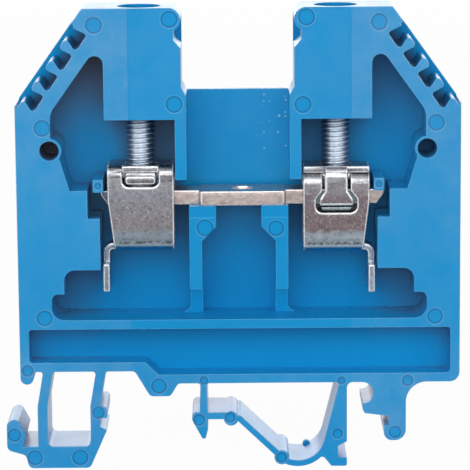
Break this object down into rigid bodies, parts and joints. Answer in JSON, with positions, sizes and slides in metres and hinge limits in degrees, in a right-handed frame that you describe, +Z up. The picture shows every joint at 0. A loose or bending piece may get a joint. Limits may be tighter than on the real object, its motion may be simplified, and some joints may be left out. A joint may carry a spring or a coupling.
{
  "type": "screw terminal block",
  "caption": "Rail-mounted feed-through terminal block: flat blue housing open at the front, with a current bar and screw clamps whose yokes rise to grip the wires.",
  "frame": {"origin": "middle of the rail seat, on the upper face of the rail's flanges and in the middle of the block's thickness", "axes": "+X to the right along the conductors, +Y through the thickness to the closed back (the open front faces -Y), +Z up from the rail to the tower tops"},
  "size_m": [0.055, 0.0092, 0.056],
  "materials": {
    "housing_plastic": "moulded polyamide, satin, mid blue",
    "bar_metal": "tin-plated copper alloy, satin",
    "yoke_steel": "zinc-plated folded strip with bright cut edges",
    "screw_steel": "bright zinc-plated thread"
  },
  "bodies": {
    "housing": {"housing": "housing_plastic", "current_bar": "bar_metal"},
    "left_screw": {"left_clamp_screw": "screw_steel"},
    "left_yoke": {"left_clamp_yoke": "yoke_steel"},
    "right_screw": {"right_clamp_screw": "screw_steel"},
    "right_yoke": {"right_clamp_yoke": "yoke_steel"}
  },
  "joints": [
    {"name": "left_screw_turn", "type": "hinge", "parent": "housing", "child": "left_screw", "pos_m": [-0.01225, -0.0005, 0.0388], "axis": [0, 0, -1], "range_deg": [-180, 2340]},
    {"name": "left_yoke_lift", "type": "slide", "parent": "housing", "child": "left_yoke", "axis": [0, 0, 1], "range_m": [-0.0003, 0.0039]},
    {"name": "right_screw_turn", "type": "hinge", "parent": "housing", "child": "right_screw", "pos_m": [0.01125, -0.0005, 0.0388], "axis": [0, 0, -1], "range_deg": [0, 2520]},
    {"name": "right_yoke_lift", "type": "slide", "parent": "housing", "child": "right_yoke", "axis": [0, 0, 1], "range_m": [0, 0.0042]}
  ],
  "couplings": [
    {"joint": "left_screw_turn", "follows": "left_yoke_lift", "rad_per_m": 10472},
    {"joint": "right_screw_turn", "follows": "right_yoke_lift", "rad_per_m": 10472}
  ]
}
